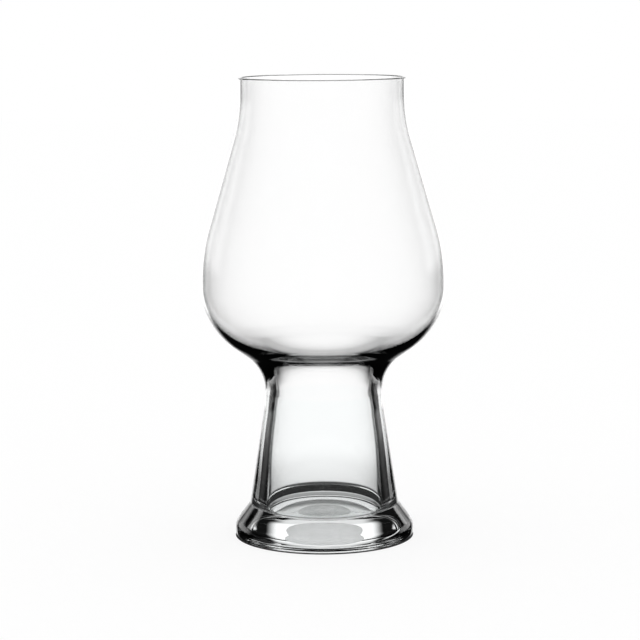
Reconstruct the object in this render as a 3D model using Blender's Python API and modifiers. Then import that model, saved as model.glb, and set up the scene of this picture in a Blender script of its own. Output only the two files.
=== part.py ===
"""Stout glass with a hollow stem: metres, +Z up, standing on the XY plane, turned about the Z axis.

It is three pieces of clear glass fused end to end: a blown bowl, a hollow stem that opens into
the bowl, and a solid foot that closes the stem. Each piece is one outline turned once round.
Radii are measured from the axis, and each height from the seam below it or from the table.
"""

import math

import bpy

MM = 0.001

# The fused ends of two pieces are drawn this far apart, so that each piece is a solid of its own.
SEAM_GAP = 0.3 * MM

# Foot: a thick disc with a sloping top, an upright rim and a shallow hollow underneath.
FOOT_HEIGHT = 13.3 * MM
FOOT_RADIUS = 35.2 * MM
FOOT_SHOULDER_HEIGHT = 5.0 * MM
FOOT_SHOULDER_ROUND = 6.0 * MM
FOOT_EDGE_ROUND = 1.6 * MM
REST_RING_WIDTH = 4.0 * MM
PUNT_DEPTH = 1.2 * MM
PUNT_ROUND = 1.5 * MM
FLOOR_DEPTH = 5.85 * MM
FLOOR_ROUND = 5.0 * MM

# Stem: a tapered tube, narrowest at the neck where it meets the bowl. Its bore swells out from a
# straight taper, most at the swell's height above the seam below.
STEM_LENGTH = 42.9 * MM
STEM_FOOT_RADIUS = 29.2 * MM
STEM_FOOT_WALL = 6.0 * MM
STEM_CURVE = 66.0 * MM
NECK_RADIUS = 23.0 * MM
NECK_WALL = 4.3 * MM
NECK_LENGTH = 3.4 * MM
BORE_SWELL = 0.74 * MM
BORE_SWELL_HEIGHT = 19.4 * MM
BORE_CURVE = 300.0 * MM

# Bowl: an upright lip, a sloping side, the widest ring, and a base that slopes in to the neck.
BOWL_HEIGHT = 123.2 * MM
RIM_RADIUS = 32.4 * MM
LIP_CURVE = 59.0 * MM
SIDE_ANGLE = math.radians(16.4)
BELLY_RADIUS = 47.9 * MM
BELLY_HEIGHT = 43.4 * MM
BELLY_UPPER_CURVE = 80.0 * MM
BELLY_LOWER_CURVE = 31.0 * MM
BASE_ANGLE = math.radians(54.8)
NECK_CURVE = 17.5 * MM

# The bowl's wall thins a little below the rim, and thickens from the belly to the neck. The inside of
# its base slopes less than the outside, by the taper.
RIM_WALL = 1.3 * MM
SIDE_WALL = 1.0 * MM
BELLY_WALL = 1.0 * MM
BASE_WALL = 3.4 * MM
BASE_TAPER = math.radians(5.0)
BASE_INNER_CURVE = 26.2 * MM
NECK_INNER_CURVE = 19.5 * MM

# Facets: sides of each turned ring, and how far an arc's facets may lie from the true arc.
TURN_STEPS = 64
ARC_SAG = 0.06 * MM


def line(point, angle):
    """A line through a point, leaning outwards from vertical by the angle as it rises."""
    return point, (math.sin(angle), math.cos(angle))


def moved(of_line, inwards):
    """The same line moved towards the axis, square to itself."""
    (r, z), (dr, dz) = of_line
    return (r - dz * inwards, z + dr * inwards), (dr, dz)


def meet(first, second):
    """The point where two lines cross."""
    (r1, z1), (a1, b1) = first
    (r2, z2), (a2, b2) = second
    along = ((r2 - r1) * b2 - (z2 - z1) * a2) / (a1 * b2 - b1 * a2)
    return r1 + a1 * along, z1 + b1 * along


def rounded(corners):
    """An open outline through corners (radius, height, rounding), with each rounding as an arc.

    An arc that is too large for the edges beside it is made as large as they allow.
    """
    spots = [(r, z) for r, z, _ in corners]
    lengths = [math.dist(a, b) for a, b in zip(spots, spots[1:])]
    bends = []
    for i in range(1, len(spots) - 1):
        before = math.atan2(spots[i][1] - spots[i - 1][1], spots[i][0] - spots[i - 1][0])
        after = math.atan2(spots[i + 1][1] - spots[i][1], spots[i + 1][0] - spots[i][0])
        bends.append(math.remainder(after - before, math.tau))
    reach = [0.0]
    for (_, _, radius), bend in zip(corners[1:-1], bends):
        reach.append(radius * math.tan(abs(bend) / 2))
    reach.append(0.0)
    # Two arcs that meet on one edge share it in the proportion of their sizes.
    room = [1.0] * len(reach)
    for i, length in enumerate(lengths):
        wanted = reach[i] + reach[i + 1]
        if wanted > 0.98 * length:
            share = 0.98 * length / wanted
            room[i] = min(room[i], share)
            room[i + 1] = min(room[i + 1], share)
    points = [spots[0]]
    for i in range(1, len(spots) - 1):
        tangent = reach[i] * room[i]
        bend = bends[i - 1]
        if tangent < 1e-6:
            points.append(spots[i])
            continue
        radius = tangent / math.tan(abs(bend) / 2)
        heading = math.atan2(spots[i][1] - spots[i - 1][1], spots[i][0] - spots[i - 1][0])
        r = spots[i][0] - tangent * math.cos(heading)
        z = spots[i][1] - tangent * math.sin(heading)
        side = math.copysign(math.pi / 2, bend)
        middle_r = r + radius * math.cos(heading + side)
        middle_z = z + radius * math.sin(heading + side)
        step = 2 * math.acos(1 - min(1.0, ARC_SAG / radius))
        count = max(2, math.ceil(abs(bend) / step))
        for k in range(count + 1):
            turn = heading + bend * k / count - side
            points.append((middle_r + radius * math.cos(turn), middle_z + radius * math.sin(turn)))
    points.append(spots[-1])
    return points


def glass(name, colour, roughness):
    material = bpy.data.materials.new(name)
    material.use_nodes = True
    shader = material.node_tree.nodes["Principled BSDF"]
    shader.inputs["Base Color"].default_value = (*colour, 1.0)
    shader.inputs["Roughness"].default_value = roughness
    shader.inputs["Metallic"].default_value = 0.0
    shader.inputs["IOR"].default_value = 1.52
    shader.inputs["Transmission Weight"].default_value = 0.9
    return material


def turned(name, outline, closed, material):
    """One solid: the outline runs down its outer side, and is turned once round the Z axis."""
    count = len(outline)
    edges = [(i, (i + 1) % count) for i in range(count if closed else count - 1)]
    mesh = bpy.data.meshes.new(name)
    mesh.from_pydata([(r, 0.0, z) for r, z in outline], edges, [])
    mesh.materials.append(material)
    piece = bpy.data.objects.new(name, mesh)
    glassware.objects.link(piece)
    screw = piece.modifiers.new("turn", "SCREW")
    screw.axis = "Z"
    screw.angle = math.tau
    screw.steps = TURN_STEPS
    screw.render_steps = TURN_STEPS
    screw.use_merge_vertices = True
    screw.merge_threshold = 0.00001
    screw.use_smooth_shade = True
    return piece


for old in list(bpy.data.objects):
    bpy.data.objects.remove(old)

glassware = bpy.data.collections.new("stout_glass")
bpy.context.scene.collection.children.link(glassware)

# Seams: the foot ends at its height, and the stem and the bowl each start one gap above the last.
stem_bottom = FOOT_HEIGHT + SEAM_GAP
stem_top = stem_bottom + STEM_LENGTH
bowl_bottom = stem_top + SEAM_GAP
rim_height = bowl_bottom + BOWL_HEIGHT

# The bore narrows up through the stem and opens into the bowl. Its lower run goes on into the foot's floor.
bore_foot_radius = STEM_FOOT_RADIUS - STEM_FOOT_WALL
bore_neck_radius = NECK_RADIUS - NECK_WALL
straight_taper = (bore_neck_radius - bore_foot_radius) / STEM_LENGTH
bore_swell_radius = bore_foot_radius + straight_taper * BORE_SWELL_HEIGHT + BORE_SWELL
bore_lean = math.atan2(bore_swell_radius - bore_foot_radius, BORE_SWELL_HEIGHT)
bore_line = line((bore_foot_radius, stem_bottom), bore_lean)

# Foot
floor_height = FOOT_HEIGHT - FLOOR_DEPTH
floor_line = line((0.0, floor_height), math.pi / 2)
foot_top_line = line((0.0, FOOT_HEIGHT), math.pi / 2)
punt_radius = FOOT_RADIUS - FOOT_EDGE_ROUND - REST_RING_WIDTH
foot_outline = rounded(
    [
        (0.0, floor_height, 0.0),
        (*meet(floor_line, bore_line), FLOOR_ROUND),
        (*meet(foot_top_line, bore_line), 0.0),
        (STEM_FOOT_RADIUS, FOOT_HEIGHT, 0.0),
        (FOOT_RADIUS, FOOT_SHOULDER_HEIGHT, FOOT_SHOULDER_ROUND),
        (FOOT_RADIUS, 0.0, FOOT_EDGE_ROUND),
        (punt_radius, 0.0, 0.0),
        (punt_radius - PUNT_DEPTH, PUNT_DEPTH, PUNT_ROUND),
        (0.0, PUNT_DEPTH, 0.0),
    ]
)
turned("foot", foot_outline, False, glass("foot_glass", (0.86, 0.90, 0.90), 0.03))

# Stem
neck_end = stem_top - NECK_LENGTH
stem_outline = rounded(
    [
        (NECK_RADIUS, stem_top, 0.0),
        (NECK_RADIUS, neck_end, STEM_CURVE),
        (STEM_FOOT_RADIUS, stem_bottom, 0.0),
    ]
)
stem_outline += rounded(
    [
        (bore_foot_radius, stem_bottom, 0.0),
        (bore_swell_radius, stem_bottom + BORE_SWELL_HEIGHT, BORE_CURVE),
        (bore_neck_radius, stem_top, 0.0),
    ]
)
turned("stem", stem_outline, True, glass("stem_glass", (0.88, 0.92, 0.92), 0.02))

# Bowl: its straight runs are lines, moved inwards by each one's wall for the inside.
belly_height = bowl_bottom + BELLY_HEIGHT
side_corner = belly_height + BELLY_UPPER_CURVE * math.tan(SIDE_ANGLE / 2)
base_corner = belly_height - BELLY_LOWER_CURVE * math.tan(BASE_ANGLE / 2)
lip_line = line((RIM_RADIUS, rim_height), 0.0)
side_line = line((BELLY_RADIUS, side_corner), -SIDE_ANGLE)
belly_line = line((BELLY_RADIUS, belly_height), 0.0)
base_line = line((BELLY_RADIUS, base_corner), BASE_ANGLE)
neck_line = line((NECK_RADIUS, bowl_bottom), 0.0)
outside = [
    (RIM_RADIUS, rim_height - RIM_WALL / 2, 0.0),
    (*meet(lip_line, side_line), LIP_CURVE),
    (*meet(side_line, belly_line), BELLY_UPPER_CURVE),
    (*meet(belly_line, base_line), BELLY_LOWER_CURVE),
    (*meet(base_line, neck_line), NECK_CURVE),
    (NECK_RADIUS, bowl_bottom, 0.0),
]
inner_lip = moved(lip_line, RIM_WALL)
inner_side = moved(side_line, SIDE_WALL)
inner_belly = moved(belly_line, BELLY_WALL)
inner_neck = moved(neck_line, NECK_WALL)
inner_base = line(meet(moved(base_line, BASE_WALL), inner_neck), BASE_ANGLE + BASE_TAPER)
inside = [
    (bore_neck_radius, bowl_bottom, 0.0),
    (*meet(inner_base, inner_neck), NECK_INNER_CURVE),
    (*meet(inner_belly, inner_base), BASE_INNER_CURVE),
    (*meet(inner_side, inner_belly), BELLY_UPPER_CURVE - BELLY_WALL),
    (*meet(inner_lip, inner_side), LIP_CURVE + SIDE_WALL),
    (RIM_RADIUS - RIM_WALL, rim_height - RIM_WALL / 2, 0.0),
]
rim = [
    (RIM_RADIUS - RIM_WALL, rim_height - RIM_WALL / 2, 0.0),
    (RIM_RADIUS - RIM_WALL, rim_height, RIM_WALL / 2),
    (RIM_RADIUS, rim_height, RIM_WALL / 2),
    (RIM_RADIUS, rim_height - RIM_WALL / 2, 0.0),
]
bowl_outline = rounded(outside) + rounded(inside)[:-1] + rounded(rim)[:-1]
turned("bowl", bowl_outline, True, glass("bowl_glass", (0.90, 0.94, 0.94), 0.01))
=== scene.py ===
"""Stout glass: a blown bowl, a hollow stem and a solid foot, all of clear glass and fused end to end.

Lengths are in metres and +Z is up. The glass stands on the XY plane, turned about the Z axis.
Each piece is one outline, drawn in the XZ plane and spun once round.
"""

import math

import bmesh
import bpy
from mathutils import Matrix, Vector


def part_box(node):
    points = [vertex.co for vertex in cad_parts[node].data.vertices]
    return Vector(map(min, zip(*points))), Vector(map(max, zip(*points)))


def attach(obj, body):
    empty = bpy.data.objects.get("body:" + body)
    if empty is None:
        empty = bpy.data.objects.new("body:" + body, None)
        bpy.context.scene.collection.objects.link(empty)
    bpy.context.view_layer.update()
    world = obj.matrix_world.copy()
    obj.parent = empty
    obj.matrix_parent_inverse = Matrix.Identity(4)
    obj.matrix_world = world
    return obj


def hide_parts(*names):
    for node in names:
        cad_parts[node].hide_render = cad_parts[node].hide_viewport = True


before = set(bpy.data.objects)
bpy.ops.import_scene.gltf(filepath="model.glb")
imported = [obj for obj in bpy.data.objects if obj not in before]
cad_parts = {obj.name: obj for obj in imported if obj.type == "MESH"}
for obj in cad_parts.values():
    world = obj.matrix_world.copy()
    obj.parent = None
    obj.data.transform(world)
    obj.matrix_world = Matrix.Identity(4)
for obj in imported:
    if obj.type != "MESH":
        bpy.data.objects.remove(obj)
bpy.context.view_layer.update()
scene = bpy.context.scene

MM = 0.001


def seam_between(lower, upper):
    """The height of a seam: halfway across the gap between two solids, so that the fused pieces touch."""
    return (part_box(lower)[1][2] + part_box(upper)[0][2]) / 2


FOOT_SEAM = seam_between("foot", "stem")
NECK_SEAM = seam_between("stem", "bowl")
RIM_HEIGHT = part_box("bowl")[1][2]

# Foot: a thick disc with a sloping top, an upright rim and a shallow hollow underneath, the punt. A small
# crease runs round it where the stem ends. The floor closes the stem's bore, a little below that.
FOOT_RADIUS = 35.2 * MM
FOOT_CREASE_OUT = 0.1 * MM
FOOT_CREASE_DOWN = 0.6 * MM
FOOT_CREASE_ROUND = 0.7 * MM
FOOT_SHOULDER_HEIGHT = 5.0 * MM
FOOT_SHOULDER_ROUND = 6.0 * MM
FOOT_EDGE_ROUND = 1.6 * MM
REST_RING_WIDTH = 4.0 * MM
PUNT_EDGE_ROUND = 0.5 * MM
PUNT_DEPTH = 1.2 * MM
PUNT_ROUND = 1.5 * MM
FLOOR_DEPTH = 6.0 * MM
FLOOR_ROUND = 5.0 * MM
ETCHED_RADIUS = 10.5 * MM

# Stem: a tapered tube, narrowest at the neck where it meets the bowl. Its bore swells out from a straight
# taper, most at the given height above the foot.
STEM_FOOT_RADIUS = 29.2 * MM
STEM_FOOT_WALL = 6.0 * MM
STEM_CURVE = 66.0 * MM
NECK_RADIUS = 23.0 * MM
NECK_WALL = 4.3 * MM
NECK_LENGTH = 3.4 * MM
BORE_SWELL = 0.74 * MM
BORE_SWELL_HEIGHT = 19.4 * MM
BORE_CURVE = 300.0 * MM

# Bowl: an upright lip, a sloping side, the widest ring, and a base that slopes in to the neck.
RIM_RADIUS = 32.4 * MM
LIP_CURVE = 59.0 * MM
SIDE_ANGLE = math.radians(16.4)
BELLY_RADIUS = 47.9 * MM
BELLY_HEIGHT = 100.2 * MM
BELLY_UPPER_CURVE = 80.0 * MM
BELLY_LOWER_CURVE = 31.0 * MM
BASE_ANGLE = math.radians(54.8)
NECK_CURVE = 17.5 * MM

# The bowl's wall thins a little below the rim, and thickens from the belly to the neck. The inside of its
# base slopes less than the outside, by the taper.
RIM_WALL = 1.3 * MM
SIDE_WALL = 1.0 * MM
BELLY_WALL = 1.0 * MM
BASE_WALL = 3.4 * MM
BASE_TAPER = math.radians(5.0)
BASE_INNER_CURVE = 26.2 * MM
NECK_INNER_CURVE = 19.5 * MM

# Mesh fineness: sides of each turned ring, the fewest steps along an arc, and the longest step along an arc
# or a straight run.
TURN_SIDES = 160
ARC_STEPS_LEAST = 4
ARC_STEP = 0.5 * MM
RUN_STEP = 1.5 * MM
# The most of a straight run that the roundings at its two ends may take up.
ROUNDED_SHARE = 0.98
# A length that is too short to draw, and a distance at which two points are one.
TOO_SHORT = 0.001 * MM
SAME_POINT = 0.0005 * MM

# Places of two finishes in a piece's list, after the one that covers the piece.
FUSED_FINISH = 1
ETCHED_FINISH = 2


def line(point, angle):
    """A line through a point (radius, height), leaning outwards from vertical by the angle as it rises."""
    return point, (math.sin(angle), math.cos(angle))


def moved(of_line, inwards):
    """The same line moved towards the axis, square to itself."""
    (r, z), (dr, dz) = of_line
    return (r - dz * inwards, z + dr * inwards), (dr, dz)


def meet(first, second):
    """The point where two lines cross."""
    (r1, z1), (a1, b1) = first
    (r2, z2), (a2, b2) = second
    along = ((r2 - r1) * b2 - (z2 - z1) * a2) / (a1 * b2 - b1 * a2)
    return r1 + a1 * along, z1 + b1 * along


def draw_outline(mesh, corners):
    """Draws an outline through corners (radius, height, rounding).

    A straight run is extruded from the last point. A rounding is spun from it about the arc's middle,
    and one that is too large for the runs beside it is made as large as they allow.
    """
    spots = [Vector((r, 0.0, z)) for r, z, _ in corners]
    runs = [after - before for before, after in zip(spots, spots[1:])]
    headings = [math.atan2(run.z, run.x) for run in runs]
    turns = [math.remainder(b - a, math.tau) for a, b in zip(headings, headings[1:])]
    reach = [0.0]
    reach += [rounding * math.tan(abs(turn) / 2) for (_, _, rounding), turn in zip(corners[1:-1], turns)]
    reach += [0.0]
    fitted = [1.0] * len(reach)
    for i, run in enumerate(runs):
        wanted = reach[i] + reach[i + 1]
        allowed = ROUNDED_SHARE * run.length
        if wanted > allowed:
            fitted[i] = min(fitted[i], allowed / wanted)
            fitted[i + 1] = min(fitted[i + 1], allowed / wanted)
    tip = mesh.verts.new(spots[0])
    for i in range(1, len(spots)):
        along = runs[i - 1].normalized()
        short = reach[i] * fitted[i]
        tip = bmesh.ops.extrude_vert_indiv(mesh, verts=[tip])["verts"][0]
        tip.co = spots[i] - along * short
        if short < TOO_SHORT:
            continue
        turn = turns[i - 1]
        radius = short / math.tan(abs(turn) / 2)
        inwards = Vector((-along.z, 0.0, along.x)) * math.copysign(1.0, turn)
        arc = bmesh.ops.spin(
            mesh,
            geom=[tip],
            cent=tip.co + inwards * radius,
            axis=(0.0, -1.0, 0.0),
            angle=turn,
            steps=max(ARC_STEPS_LEAST, math.ceil(abs(turn) * radius / ARC_STEP)),
            use_duplicate=False,
        )
        tip = next(part for part in arc["geom_last"] if isinstance(part, bmesh.types.BMVert))
    for edge in list(mesh.edges):
        cuts = math.ceil(edge.calc_length() / RUN_STEP) - 1
        if cuts > 0:
            bmesh.ops.subdivide_edges(mesh, edges=[edge], cuts=cuts)


def put_in_scene(name, mesh):
    """Makes an object of a finished mesh."""
    data = bpy.data.meshes.new(name)
    mesh.to_mesh(data)
    mesh.free()
    made = bpy.data.objects.new(name, data)
    scene.collection.objects.link(made)
    return made


def turned_piece(name, corners, seams, finishes):
    """One closed piece: its outline spun round the Z axis, with the fused faces at the seams marked.

    The first finish covers the piece and the second its fused faces, and a third covers the etched disc.
    """
    mesh = bmesh.new()
    draw_outline(mesh, corners)
    bmesh.ops.remove_doubles(mesh, verts=mesh.verts, dist=SAME_POINT)
    bmesh.ops.spin(
        mesh,
        geom=mesh.verts[:] + mesh.edges[:],
        cent=(0.0, 0.0, 0.0),
        axis=(0.0, 0.0, 1.0),
        angle=math.tau,
        steps=TURN_SIDES,
        use_merge=True,
        use_duplicate=False,
    )
    bmesh.ops.remove_doubles(mesh, verts=mesh.verts, dist=SAME_POINT)
    bmesh.ops.recalc_face_normals(mesh, faces=mesh.faces)
    for face in mesh.faces:
        face.smooth = True
        middle = face.calc_center_median()
        level = max(abs(vert.co.z - middle.z) for vert in face.verts) < SAME_POINT
        fused = level and min(abs(middle.z - seam) for seam in seams) < TOO_SHORT
        # The floor lies in the upper half of the foot, and the punt in the lower half.
        on_disc = level and middle.z > seams[0] / 2 and middle.xy.length < ETCHED_RADIUS
        if fused:
            face.material_index = FUSED_FINISH
        elif on_disc and len(finishes) > ETCHED_FINISH:
            face.material_index = ETCHED_FINISH
    # The edges of a fused face stay sharp, so that it doesn't bend the shading of the glass beside it.
    for edge in mesh.edges:
        kinds = {face.material_index for face in edge.link_faces}
        edge.smooth = not (FUSED_FINISH in kinds and len(kinds) > 1)
    piece = put_in_scene(name, mesh)
    for finish in finishes:
        piece.data.materials.append(finish)
    return piece


def linear(hex_colour):
    """An sRGB hex colour as linear RGBA."""
    values = [int(hex_colour[i : i + 2], 16) / 255 for i in (1, 3, 5)]
    return (*[v / 12.92 if v <= 0.04045 else ((v + 0.055) / 1.055) ** 2.4 for v in values], 1.0)


def add(tree, kind, inputs=None, **settings):
    """Adds a node with its settings; an input is a value, or an output of another node to link."""
    made = tree.nodes.new(kind)
    for name, value in settings.items():
        setattr(made, name, value)
    for key, value in (inputs or {}).items():
        if isinstance(value, bpy.types.NodeSocket):
            tree.links.new(value, made.inputs[key])
        else:
            made.inputs[key].default_value = value
    return made


def new_material(name):
    """An empty material and its node tree."""
    made = bpy.data.materials.new(name)
    made.use_nodes = True
    made.node_tree.nodes.clear()
    return made, made.node_tree


# All the glass is soda-lime glass.
GLASS_IOR = 1.52

# Places of a mix node's two colours and of their mix among its sockets, where several share a name.
FIRST_COLOUR = 6
SECOND_COLOUR = 7
MIXED_COLOUR = 2


def clear_glass(name, tint, ripple_mm, ripple_depth_mm, along_axis):
    """Soda-lime glass: nearly colourless, fire-polished, with the faint ripple of worked glass.

    The ripple bends what shows through by a little and breaks up the edges of highlights. Where its scale
    along the glass's axis is below 1, it is drawn out that way.
    """
    made, tree = new_material(name)
    place = add(tree, "ShaderNodeTexCoord").outputs["Object"]
    drawn_out = add(tree, "ShaderNodeMapping", {"Vector": place, "Scale": (1.0, 1.0, along_axis)})
    waves = add(
        tree,
        "ShaderNodeTexNoise",
        {
            "Vector": drawn_out.outputs["Vector"],
            "Scale": 1 / (ripple_mm * MM),
            "Detail": 1.0,
            "Roughness": 0.4,
        },
    )
    ripple = add(
        tree,
        "ShaderNodeBump",
        {"Height": waves.outputs["Fac"], "Strength": 1.0, "Distance": ripple_depth_mm * MM},
    )
    shader = add(
        tree,
        "ShaderNodeBsdfPrincipled",
        {
            "Base Color": linear(tint),
            "Roughness": 0.0,
            "IOR": GLASS_IOR,
            "Transmission Weight": 1.0,
            "Normal": ripple.outputs["Normal"],
        },
    )
    add(tree, "ShaderNodeOutputMaterial", {"Surface": shader.outputs["BSDF"]})
    return made


def fused_joint():
    """Glass fused to glass: the joint has no surface of its own, so it shows nothing."""
    made, tree = new_material("fused_glass_joint")
    shader = add(
        tree,
        "ShaderNodeBsdfPrincipled",
        {"Base Color": linear("#FFFFFF"), "Roughness": 0.0, "IOR": GLASS_IOR, "Alpha": 0.0},
    )
    add(tree, "ShaderNodeOutputMaterial", {"Surface": shader.outputs["BSDF"]})
    return made


def etched_glass(grain_mm, cloud_mm, pit_depth_mm):
    """Acid-etched glass: a fine grain that scatters light, so the disc reads as a pale, cloudy grey."""
    made, tree = new_material("etched_glass")
    place = add(tree, "ShaderNodeTexCoord").outputs["Object"]
    grain = add(tree, "ShaderNodeTexNoise", {"Vector": place, "Scale": 1 / (grain_mm * MM), "Detail": 3.0})
    cloud = add(tree, "ShaderNodeTexNoise", {"Vector": place, "Scale": 1 / (cloud_mm * MM), "Detail": 2.0})
    mixed = add(
        tree,
        "ShaderNodeMath",
        {0: grain.outputs["Fac"], 1: cloud.outputs["Fac"]},
        operation="MULTIPLY",
    )
    # Two noises multiplied lie mostly between these two values.
    tone = add(
        tree,
        "ShaderNodeMapRange",
        {"Value": mixed.outputs["Value"], "From Min": 0.12, "From Max": 0.4},
    )
    colour = add(
        tree,
        "ShaderNodeMix",
        {
            "Factor": tone.outputs["Result"],
            FIRST_COLOUR: linear("#BEC2C1"),
            SECOND_COLOUR: linear("#FDFEFD"),
        },
        data_type="RGBA",
    )
    pits = add(
        tree,
        "ShaderNodeBump",
        {"Height": grain.outputs["Fac"], "Strength": 0.6, "Distance": pit_depth_mm * MM},
    )
    shader = add(
        tree,
        "ShaderNodeBsdfPrincipled",
        {
            "Base Color": colour.outputs[MIXED_COLOUR],
            "Roughness": 0.4,
            "IOR": GLASS_IOR,
            "Transmission Weight": 0.85,
            "Normal": pits.outputs["Normal"],
        },
    )
    add(tree, "ShaderNodeOutputMaterial", {"Surface": shader.outputs["BSDF"]})
    return made


joint = fused_joint()
# Blown glass has broad ripples and drawn glass narrower ones, both drawn out along the axis. Pressed glass
# has short ripples that run no special way. The thicker the glass, the more of its faint blue-green tint
# it has.
bowl_glass = clear_glass("blown_glass", "#FFFFFF", ripple_mm=16.0, ripple_depth_mm=0.010, along_axis=0.5)
stem_glass = clear_glass("drawn_glass", "#FDFEFE", ripple_mm=9.0, ripple_depth_mm=0.010, along_axis=0.4)
foot_glass = clear_glass("pressed_glass", "#FCFEFE", ripple_mm=7.0, ripple_depth_mm=0.015, along_axis=1.0)
# Real etching has a grain of about 0.05 mm; it is drawn at 1.6 mm so that it shows.
etched = etched_glass(grain_mm=1.6, cloud_mm=7.0, pit_depth_mm=0.05)

# The bore narrows from the foot to the neck, swelling out a little from a straight taper. Its lower run
# goes on into the foot's floor.
bore_foot = STEM_FOOT_RADIUS - STEM_FOOT_WALL
bore_neck = NECK_RADIUS - NECK_WALL
straight_taper = (bore_foot - bore_neck) / (NECK_SEAM - FOOT_SEAM)
bore_swell = bore_foot - straight_taper * BORE_SWELL_HEIGHT + BORE_SWELL
taper = (bore_foot - bore_swell) / BORE_SWELL_HEIGHT

# Foot
floor_height = FOOT_SEAM - FLOOR_DEPTH
punt_radius = FOOT_RADIUS - FOOT_EDGE_ROUND - REST_RING_WIDTH
foot = turned_piece(
    "glass_foot",
    [
        (0.0, floor_height, 0.0),
        (ETCHED_RADIUS, floor_height, 0.0),
        (bore_foot + taper * FLOOR_DEPTH, floor_height, FLOOR_ROUND),
        (bore_foot, FOOT_SEAM, 0.0),
        (STEM_FOOT_RADIUS, FOOT_SEAM, 0.0),
        (STEM_FOOT_RADIUS + FOOT_CREASE_OUT, FOOT_SEAM - FOOT_CREASE_DOWN, FOOT_CREASE_ROUND),
        (FOOT_RADIUS, FOOT_SHOULDER_HEIGHT, FOOT_SHOULDER_ROUND),
        (FOOT_RADIUS, 0.0, FOOT_EDGE_ROUND),
        (punt_radius, 0.0, PUNT_EDGE_ROUND),
        (punt_radius - PUNT_DEPTH, PUNT_DEPTH, PUNT_ROUND),
        (0.0, PUNT_DEPTH, 0.0),
    ],
    [FOOT_SEAM],
    [foot_glass, joint, etched],
)

# Stem
stem = turned_piece(
    "glass_stem",
    [
        (NECK_RADIUS, NECK_SEAM, 0.0),
        (NECK_RADIUS, NECK_SEAM - NECK_LENGTH, STEM_CURVE),
        (STEM_FOOT_RADIUS, FOOT_SEAM, 0.0),
        (bore_foot, FOOT_SEAM, 0.0),
        (bore_swell, FOOT_SEAM + BORE_SWELL_HEIGHT, BORE_CURVE),
        (bore_neck, NECK_SEAM, 0.0),
        (NECK_RADIUS, NECK_SEAM, 0.0),
    ],
    [FOOT_SEAM, NECK_SEAM],
    [stem_glass, joint],
)

# Bowl: its outside follows five lines, with the corners between them rounded. The inside follows four of
# them, a wall's thickness in, and a base line of its own.
side_corner = BELLY_HEIGHT + BELLY_UPPER_CURVE * math.tan(SIDE_ANGLE / 2)
base_corner = BELLY_HEIGHT - BELLY_LOWER_CURVE * math.tan(BASE_ANGLE / 2)
lip_line = line((RIM_RADIUS, RIM_HEIGHT), 0.0)
side_line = line((BELLY_RADIUS, side_corner), -SIDE_ANGLE)
belly_line = line((BELLY_RADIUS, BELLY_HEIGHT), 0.0)
base_line = line((BELLY_RADIUS, base_corner), BASE_ANGLE)
neck_line = line((NECK_RADIUS, NECK_SEAM), 0.0)
inner_lip = moved(lip_line, RIM_WALL)
inner_side = moved(side_line, SIDE_WALL)
inner_belly = moved(belly_line, BELLY_WALL)
inner_neck = moved(neck_line, NECK_WALL)
inner_base = line(meet(moved(base_line, BASE_WALL), inner_neck), BASE_ANGLE + BASE_TAPER)
bowl = turned_piece(
    "glass_bowl",
    [
        (RIM_RADIUS, RIM_HEIGHT - RIM_WALL / 2, 0.0),
        (*meet(lip_line, side_line), LIP_CURVE),
        (*meet(side_line, belly_line), BELLY_UPPER_CURVE),
        (*meet(belly_line, base_line), BELLY_LOWER_CURVE),
        (*meet(base_line, neck_line), NECK_CURVE),
        (NECK_RADIUS, NECK_SEAM, 0.0),
        (bore_neck, NECK_SEAM, 0.0),
        (*meet(inner_base, inner_neck), NECK_INNER_CURVE),
        (*meet(inner_belly, inner_base), BASE_INNER_CURVE),
        (*meet(inner_side, inner_belly), BELLY_UPPER_CURVE - BELLY_WALL),
        (*meet(inner_lip, inner_side), LIP_CURVE + SIDE_WALL),
        (RIM_RADIUS - RIM_WALL, RIM_HEIGHT - RIM_WALL / 2, 0.0),
        (RIM_RADIUS - RIM_WALL, RIM_HEIGHT, RIM_WALL / 2),
        (RIM_RADIUS, RIM_HEIGHT, RIM_WALL / 2),
        (RIM_RADIUS, RIM_HEIGHT - RIM_WALL / 2, 0.0),
    ],
    [NECK_SEAM],
    [bowl_glass, joint],
)

for piece, node in ((bowl, "bowl"), (stem, "stem"), (foot, "foot")):
    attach(piece, "root")
    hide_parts(node)

# Floor: a sheet of white paper under the glass, and on it a paper disc under the foot that carries painted
# light and shade. To the camera, a share of the sheet shows plain white, so that it runs into the background
# and the glass's shadow stays faint. To light through the glass, a share of the disc glows in its painted
# tone, however it is lit: a painted light that stands in for the light the foot keeps off it.
PAPER_HALF_WIDTH = 3.0
PAPER_BELOW = 0.2 * MM
DISC_BELOW = 0.15 * MM
DISC_SIDES = 64
SHOWN_TO_CAMERA = 0.78
PAINTED_GLOW_THROUGH_FOOT = 0.45
# Painted light and shade on the disc: pale inside the first radius, a painted pool of light, and dark outside
# the second, a painted shadow of the foot's rim.
PAINTED_LIGHT_RADIUS = 20.0 * MM
PAINTED_SHADOW_RADIUS = 29.0 * MM


def finish_paper(tree, colour, shown_colour, ray, share):
    """Uncoated paper, dead matt, of which a share shows a colour to one kind of ray, however it is lit."""
    matt = add(
        tree,
        "ShaderNodeBsdfPrincipled",
        {"Base Color": colour, "Roughness": 1.0, "Specular IOR Level": 0.0},
    )
    shown = add(tree, "ShaderNodeEmission", {"Color": shown_colour, "Strength": 1.0})
    shown_share = add(
        tree,
        "ShaderNodeMath",
        {0: add(tree, "ShaderNodeLightPath").outputs[ray], 1: share},
        operation="MULTIPLY",
    )
    shader = add(
        tree,
        "ShaderNodeMixShader",
        {0: shown_share.outputs["Value"], 1: matt.outputs["BSDF"], 2: shown.outputs["Emission"]},
    )
    add(tree, "ShaderNodeOutputMaterial", {"Surface": shader.outputs["Shader"]})


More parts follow.
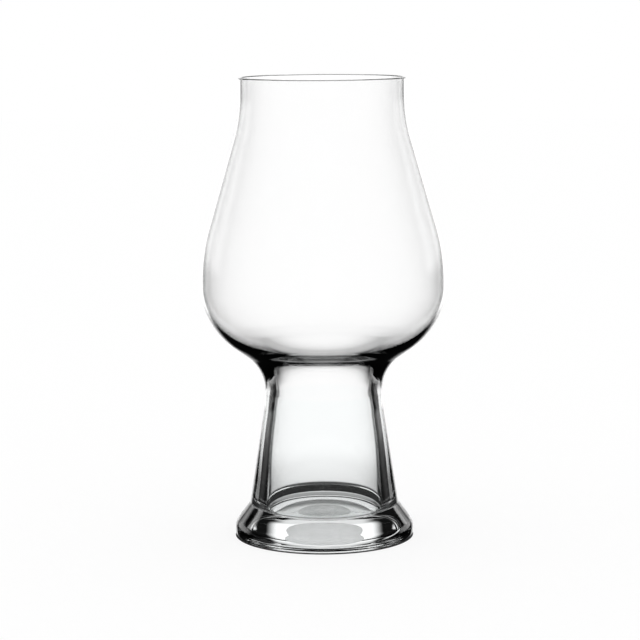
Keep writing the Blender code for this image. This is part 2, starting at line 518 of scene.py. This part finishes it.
sheet = bmesh.new()
bmesh.ops.create_grid(sheet, x_segments=1, y_segments=1, size=PAPER_HALF_WIDTH)
bmesh.ops.translate(sheet, verts=sheet.verts, vec=(0.0, 0.0, -PAPER_BELOW))
paper_floor = put_in_scene("paper_floor", sheet)
paper, paper_tree = new_material("white_paper")
finish_paper(paper_tree, linear("#FEFEFE"), linear("#FFFFFF"), "Is Camera Ray", SHOWN_TO_CAMERA)
paper_floor.data.materials.append(paper)
# What shines in the glass or through it looks past the sheet, to the studio's panels.
paper_floor.visible_glossy = False
paper_floor.visible_transmission = False

# A paper disc under the foot, put there to carry painted light and shade.
disc = bmesh.new()
bmesh.ops.create_circle(disc, cap_ends=True, segments=DISC_SIDES, radius=FOOT_RADIUS)
bmesh.ops.translate(disc, verts=disc.verts, vec=(0.0, 0.0, -DISC_BELOW))
painted_light_and_shade_disc = put_in_scene("painted_light_and_shade_disc", disc)
shaded, painted_shade_tree = new_material("painted_light_and_shade_paper")
from_axis = add(
    painted_shade_tree,
    "ShaderNodeVectorMath",
    {0: add(painted_shade_tree, "ShaderNodeTexCoord").outputs["Object"]},
    operation="LENGTH",
)
shading = add(
    painted_shade_tree,
    "ShaderNodeMapRange",
    {"Value": from_axis.outputs["Value"], "From Min": PAINTED_LIGHT_RADIUS, "From Max": PAINTED_SHADOW_RADIUS},
    interpolation_type="SMOOTHSTEP",
)
# Painted light and shade: a pale tone for a painted pool of light in the middle, a dark one for the painted
# shadow of the foot's rim.
painted_light_and_shade_tone = add(
    painted_shade_tree,
    "ShaderNodeMix",
    {
        "Factor": shading.outputs["Result"],
        FIRST_COLOUR: linear("#F6F6F6"),
        SECOND_COLOUR: linear("#444444"),
    },
    data_type="RGBA",
).outputs[MIXED_COLOUR]
# A share of the disc glows in this painted tone to light through the glass: painted light, however it is lit.
finish_paper(painted_shade_tree, painted_light_and_shade_tone, painted_light_and_shade_tone, "Is Transmission Ray", PAINTED_GLOW_THROUGH_FOOT)
painted_light_and_shade_disc.data.materials.append(shaded)

# Studio: flat white panels with soft edges, in a dark room. Each is given by its bearing, half width, lower
# edge and upper edge, the softness of its sides and of those two edges, and its level. All but the level are
# in degrees as the glass sees them. Bearing 0 is straight behind the glass, and it grows towards +X. Levels a
# little above 1 make up for the light that the walls of the glass mirror away.
PANELS = [
    (0.0, 24.0, -11.0, 4.0, 7.0, 4.0, 1.18),
    (0.0, 25.0, -20.0, 12.0, 3.0, 6.0, 1.18),
    (0.0, 25.0, -8.0, 22.0, 4.0, 4.0, 1.18),
    (0.0, 22.0, 12.0, 62.0, 5.0, 6.0, 0.85),
    (0.0, 12.0, -27.0, -10.0, 5.0, 5.0, 0.7),
]
# The first of these stands low behind the glass, and the others behind it as it is seen from its other sides.
# They show only straight through the glass.
FAR_PANELS = [
    (0.0, 12.0, -54.0, -32.0, 5.0, 6.0, 0.4),
    (-90.0, 26.0, -16.0, 14.0, 4.5, 4.0, 1.1),
    (-45.0, 12.0, -40.0, -17.5, 3.0, 1.5, 1.1),
    (135.0, 26.0, -28.0, 10.0, 4.5, 4.0, 1.1),
]
# Two small lamps, and a panel at either side. They show only where the glass's outside mirrors them.
SIDE_PANELS = [
    (-57.0, 5.0, 17.0, 28.0, 2.0, 3.0, 3.0),
    (40.0, 4.0, 8.0, 17.0, 2.0, 3.0, 2.5),
    (-48.0, 18.0, -2.5, 14.0, 7.0, 3.0, 1.5),
    (48.0, 18.0, -2.5, 14.0, 7.0, 3.0, 1.5),
]
DARK_ROOM = 0.006
# A steep look down through the glass shows the pale floor. It starts to show and shows in full at these rises
# of the look's direction, where -1 is straight down, and it has this level.
FLOOR_STARTS = -0.64
FLOOR_FULL = -0.77
FLOOR_LEVEL = 0.92
# Light's depth is one more than the number of surfaces it has met. Straight through the glass it crosses two
# at each wall, which makes its depth odd: 3 through one wall, 5 through two. If it was turned back once
# inside the glass, its depth is even. Light that was only mirrored on the outside has a depth of 2.
THROUGH_DEPTH_LIMIT = 6.5
MIRRORED_DEPTH_LIMIT = 2.5
AT_LEAST_ONE = 0.5

studio = bpy.data.worlds.new("studio")
scene.world = studio
studio.use_nodes = True
room = studio.node_tree
room.nodes.clear()
towards = add(room, "ShaderNodeTexCoord").outputs["Generated"]
rising = add(room, "ShaderNodeSeparateXYZ", {"Vector": towards}).outputs["Z"]
path = add(room, "ShaderNodeLightPath")
depth = path.outputs["Ray Depth"]


def panel_light(panels):
    """The brightest of the panels in the direction that is looked at."""
    brightest = DARK_ROOM
    for bearing, half_width, low, high, side_soft, edge_soft, level in panels:
        turn = math.radians(bearing)
        ahead = add(
            room,
            "ShaderNodeVectorMath",
            {0: towards, 1: (math.sin(turn), math.cos(turn), 0.0)},
            operation="DOT_PRODUCT",
        ).outputs["Value"]
        across = add(
            room,
            "ShaderNodeVectorMath",
            {0: towards, 1: (math.cos(turn), -math.sin(turn), 0.0)},
            operation="DOT_PRODUCT",
        ).outputs["Value"]
        aside = add(room, "ShaderNodeMath", {0: across, 1: ahead}, operation="ARCTAN2").outputs["Value"]
        aside = add(room, "ShaderNodeMath", {0: aside}, operation="ABSOLUTE").outputs["Value"]
        above = add(room, "ShaderNodeMath", {0: rising, 1: ahead}, operation="ARCTAN2").outputs["Value"]
        shining = level
        for angle, inner, outer in (
            (aside, half_width - side_soft, half_width + side_soft),
            (above, low + edge_soft, low - edge_soft),
            (above, high - edge_soft, high + edge_soft),
        ):
            shining = add(
                room,
                "ShaderNodeMapRange",
                {
                    "Value": angle,
                    "From Min": math.radians(outer),
                    "From Max": math.radians(inner),
                    "To Max": shining,
                },
                interpolation_type="SMOOTHSTEP",
            ).outputs["Result"]
        brightest = add(
            room,
            "ShaderNodeMath",
            {0: brightest, 1: shining},
            operation="MAXIMUM",
        ).outputs["Value"]
    return brightest


# A far panel and the pale floor show straight through the glass.
few_walls = add(room, "ShaderNodeMath", {0: depth, 1: THROUGH_DEPTH_LIMIT}, operation="LESS_THAN")
odd_depth = add(room, "ShaderNodeMath", {0: depth, 1: 2.0}, operation="MODULO")
not_turned = add(
    room,
    "ShaderNodeMath",
    {0: few_walls.outputs["Value"], 1: odd_depth.outputs["Value"]},
    operation="MULTIPLY",
)
straight_through = add(
    room,
    "ShaderNodeMath",
    {0: path.outputs["Is Transmission Ray"], 1: not_turned.outputs["Value"]},
    operation="MULTIPLY",
)
floor_shows = add(
    room,
    "ShaderNodeMapRange",
    {"Value": rising, "From Min": FLOOR_STARTS, "From Max": FLOOR_FULL, "To Max": FLOOR_LEVEL},
    interpolation_type="SMOOTHSTEP",
)
far_or_floor = add(
    room,
    "ShaderNodeMath",
    {0: panel_light(FAR_PANELS), 1: floor_shows.outputs["Result"]},
    operation="MAXIMUM",
)
far_light = add(
    room,
    "ShaderNodeMath",
    {0: far_or_floor.outputs["Value"], 1: straight_through.outputs["Value"]},
    operation="MULTIPLY",
)

# A side panel shows off the outside of the glass.
first_surface = add(room, "ShaderNodeMath", {0: depth, 1: MIRRORED_DEPTH_LIMIT}, operation="LESS_THAN")
off_outside = add(
    room,
    "ShaderNodeMath",
    {0: path.outputs["Is Glossy Ray"], 1: first_surface.outputs["Value"]},
    operation="MULTIPLY",
)
side_light = add(
    room,
    "ShaderNodeMath",
    {0: panel_light(SIDE_PANELS), 1: off_outside.outputs["Value"]},
    operation="MULTIPLY",
)
extra_light = add(
    room,
    "ShaderNodeMath",
    {0: far_light.outputs["Value"], 1: side_light.outputs["Value"]},
    operation="MAXIMUM",
)
light = add(
    room,
    "ShaderNodeMath",
    {0: panel_light(PANELS), 1: extra_light.outputs["Value"]},
    operation="MAXIMUM",
)

# Only what shines in the glass or through it shows the panels. The background and the light on matt
# surfaces are plain white, at a strength of 1.
in_glass = add(
    room,
    "ShaderNodeMath",
    {0: path.outputs["Is Glossy Ray"], 1: path.outputs["Is Transmission Ray"]},
    operation="MAXIMUM",
)
off_matt = add(
    room,
    "ShaderNodeMath",
    {0: path.outputs["Diffuse Depth"], 1: AT_LEAST_ONE},
    operation="GREATER_THAN",
)
panels_show = add(
    room,
    "ShaderNodeMath",
    {0: in_glass.outputs["Value"], 1: off_matt.outputs["Value"]},
    operation="SUBTRACT",
    use_clamp=True,
)
strength = add(
    room,
    "ShaderNodeMix",
    {"Factor": panels_show.outputs["Value"], "A": 1.0, "B": light.outputs["Value"]},
    data_type="FLOAT",
)
shine = add(
    room,
    "ShaderNodeBackground",
    {"Color": linear("#FFFFFF"), "Strength": strength.outputs["Result"]},
)
add(room, "ShaderNodeOutputWorld", {"Surface": shine.outputs["Background"]})

# Camera: a long lens, a little above the rim and looking down at the glass. Angles are in degrees.
CAMERA_PLACE = (-0.0013, -0.876, 0.2115)
CAMERA_DOWN = 8.2
CAMERA_ROLL = -0.33
lens = bpy.data.cameras.new("camera")
lens.sensor_width = 36.0
lens.lens = 127.1
camera = bpy.data.objects.new("camera", lens)
scene.collection.objects.link(camera)
camera.matrix_world = (
    Matrix.Translation(CAMERA_PLACE)
    @ Matrix.Rotation(math.radians(90.0 - CAMERA_DOWN), 4, "X")
    @ Matrix.Rotation(math.radians(CAMERA_ROLL), 4, "Z")
)
scene.camera = camera

# Light that is turned back again and again inside thick glass is lost, which leaves its edges dark. The limit
# for the fused joints, which light crosses freely, is higher.
BOUNCES = 10
JOINT_CROSSINGS = 32
scene.cycles.max_bounces = BOUNCES
scene.cycles.glossy_bounces = BOUNCES
scene.cycles.transmission_bounces = BOUNCES
scene.cycles.transparent_max_bounces = JOINT_CROSSINGS
scene.view_settings.view_transform = "Standard"
